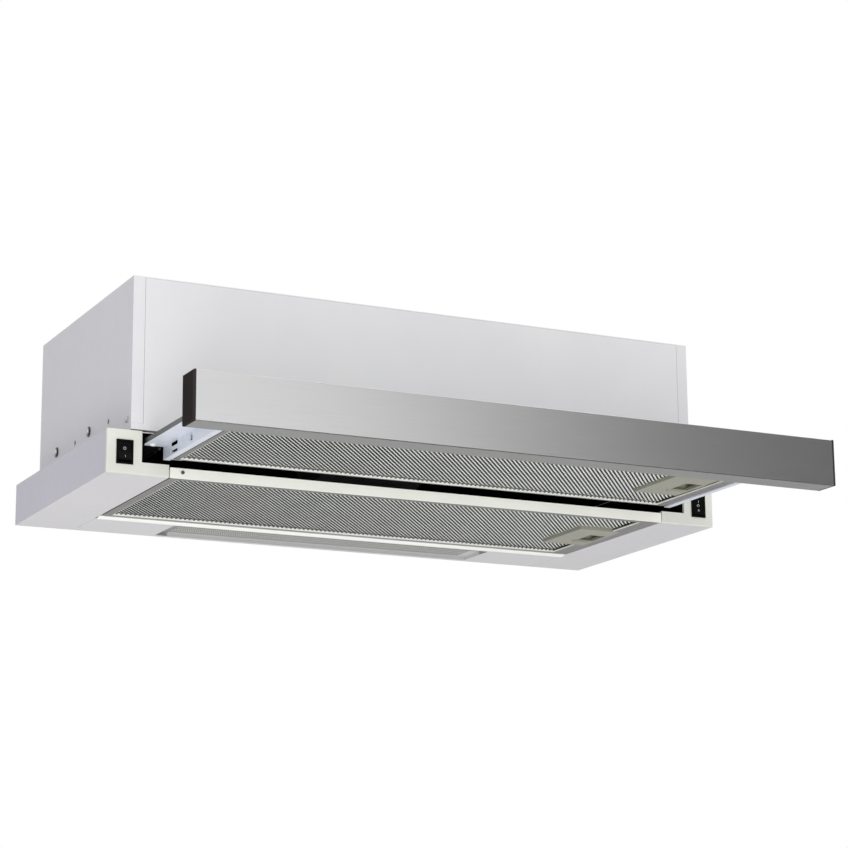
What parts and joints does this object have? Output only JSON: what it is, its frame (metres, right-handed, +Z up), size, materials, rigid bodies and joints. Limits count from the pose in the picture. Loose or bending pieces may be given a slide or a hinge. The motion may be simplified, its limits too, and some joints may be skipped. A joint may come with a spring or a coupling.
{
  "type": "built-in cooker hood",
  "caption": "Slide-out cooker hood for a wall cabinet: pull-out visor with grease filters, lamp panel, rocker switches, blower and round outlet collar.",
  "frame": {"origin": "middle of the back face, level with the ledges that meet the underside of the cabinet", "axes": "+X to the right as seen from the front, +Y towards the wall, +Z up"},
  "size_m": [0.6, 0.455, 0.2062],
  "materials": {
    "painted_box": "light grey-white powder paint, slight orange peel",
    "cream_plastic": "moulded, satin gloss",
    "brushed_bar": "stainless sheet brushed along its length",
    "zinc_plate": "zinc-plated sheet, bluish, bright",
    "dark_slide": "phosphated steel slide",
    "filter_aluminium": "plain rolled sheet and expanded net",
    "latch_plastic": "moulded beige-grey, fine texture",
    "black_plastic": "moulded, fine texture",
    "brown_black_plastic": "moulded, satin",
    "lens_plastic": "ribbed translucent plastic",
    "lamp_glass": "opal bulb",
    "screw_steel": "zinc-plated screws",
    "motor_iron": "bare laminations",
    "motor_alloy": "die-cast end bells",
    "shaft_steel": "ground steel",
    "blower_plastic": "moulded grey-black",
    "grommet_rubber": "soft black rubber",
    "collar_plastic": "moulded black",
    "capacitor_can": "white can"
  },
  "bodies": {
    "housing": {"upper_shell": "painted_box", "front_panel": "painted_box", "housing_left": "painted_box", "housing_right": "painted_box", "lamp_panel": "painted_box", "front_strip": "cream_plastic", "end_cap_left": "cream_plastic", "end_cap_right": "cream_plastic", "side_screws": "screw_steel", "small_screws": "screw_steel", "switch_bezel_left": "black_plastic", "switch_bezel_right": "black_plastic", "lamp_lens": "lens_plastic", "lamp_reflector": "zinc_plate", "lamp_holders": "blower_plastic", "lamps": "lamp_glass", "slide_outer_left": "zinc_plate", "slide_outer_right": "zinc_plate", "slide_screws": "screw_steel", "scroll_housing": "blower_plastic", "blower_screws": "screw_steel", "motor_stator": "motor_iron", "motor_end_bells": "motor_alloy", "motor_bracket": "zinc_plate", "motor_grommets": "grommet_rubber", "outlet_collar": "collar_plastic", "damper_pins": "shaft_steel", "capacitor": "capacitor_can", "terminal_box": "black_plastic", "cable_gland": "black_plastic"},
    "visor": {"visor_bar": "brushed_bar", "bar_cap_left": "brown_black_plastic", "bar_cap_right": "brown_black_plastic", "visor_cross_rail": "zinc_plate", "visor_rail_left": "zinc_plate", "visor_rail_right": "zinc_plate", "rail_rivets": "screw_steel", "visor_screws": "screw_steel", "slide_inner_left": "dark_slide", "slide_inner_right": "dark_slide"},
    "cage_left": {"ball_cage_left": "dark_slide"},
    "cage_right": {"ball_cage_right": "dark_slide"},
    "light_rocker": {"rocker_left": "black_plastic"},
    "speed_rocker": {"rocker_right": "black_plastic"},
    "fixed_filter": {"fixed_filter_frame": "filter_aluminium", "fixed_filter_net": "filter_aluminium", "fixed_filter_pins": "screw_steel", "fixed_latch_plate": "latch_plastic"},
    "fixed_latch": {"fixed_latch_slider": "latch_plastic"},
    "visor_filter": {"visor_filter_frame": "filter_aluminium", "visor_filter_net": "filter_aluminium", "visor_filter_pins": "screw_steel", "visor_latch_plate": "latch_plastic"},
    "visor_latch": {"visor_latch_slider": "latch_plastic"},
    "fan": {"impeller": "blower_plastic", "motor_shaft": "shaft_steel", "motor_rotor": "motor_iron"},
    "front_flap": {"damper_flap_front": "collar_plastic"},
    "rear_flap": {"damper_flap_rear": "collar_plastic"}
  },
  "joints": [
    {"name": "visor_pull", "type": "slide", "parent": "housing", "child": "visor", "axis": [0, -1, 0], "range_m": [-0.171, 0]},
    {"name": "cage_left_roll", "type": "slide", "parent": "housing", "child": "cage_left", "axis": [0, -1, 0], "range_m": [-0.0855, 0]},
    {"name": "cage_right_roll", "type": "slide", "parent": "housing", "child": "cage_right", "axis": [0, -1, 0], "range_m": [-0.0855, 0]},
    {"name": "light_switch", "type": "hinge", "parent": "housing", "child": "light_rocker", "pos_m": [-0.284, -0.254, -0.0195], "axis": [1, 0, 0], "range_deg": [0, 24]},
    {"name": "speed_switch", "type": "hinge", "parent": "housing", "child": "speed_rocker", "pos_m": [0.284, -0.254, -0.0195], "axis": [1, 0, 0], "range_deg": [-12, 12]},
    {"name": "fixed_filter_tilt", "type": "hinge", "parent": "housing", "child": "fixed_filter", "pos_m": [-0.237, -0.164, -0.0342], "axis": [0, 1, 0], "range_deg": [0, 70]},
    {"name": "fixed_latch_pull", "type": "slide", "parent": "fixed_filter", "child": "fixed_latch", "axis": [1, 0, 0], "range_m": [-0.004, 0], "stiffness_N_per_m": 400, "springref_m": 0.003},
    {"name": "visor_filter_tilt", "type": "hinge", "parent": "visor", "child": "visor_filter", "pos_m": [-0.238, -0.344, -0.0202], "axis": [0, 1, 0], "range_deg": [0, 70]},
    {"name": "visor_latch_pull", "type": "slide", "parent": "visor_filter", "child": "visor_latch", "axis": [1, 0, 0], "range_m": [-0.004, 0], "stiffness_N_per_m": 400, "springref_m": 0.003},
    {"name": "fan_spin", "type": "hinge", "parent": "housing", "child": "fan", "pos_m": [0, -0.128, 0.057], "axis": [1, 0, 0], "continuous": true},
    {"name": "front_flap_lift", "type": "hinge", "parent": "housing", "child": "front_flap", "pos_m": [0, -0.1005, 0.1211], "axis": [-1, 0, 0], "range_deg": [0, 65]},
    {"name": "rear_flap_lift", "type": "hinge", "parent": "housing", "child": "rear_flap", "pos_m": [0, -0.0915, 0.1211], "axis": [1, 0, 0], "range_deg": [0, 65]}
  ],
  "couplings": [
    {"joint": "cage_left_roll", "follows": "visor_pull", "ratio": 0.5},
    {"joint": "cage_right_roll", "follows": "visor_pull", "ratio": 0.5}
  ]
}
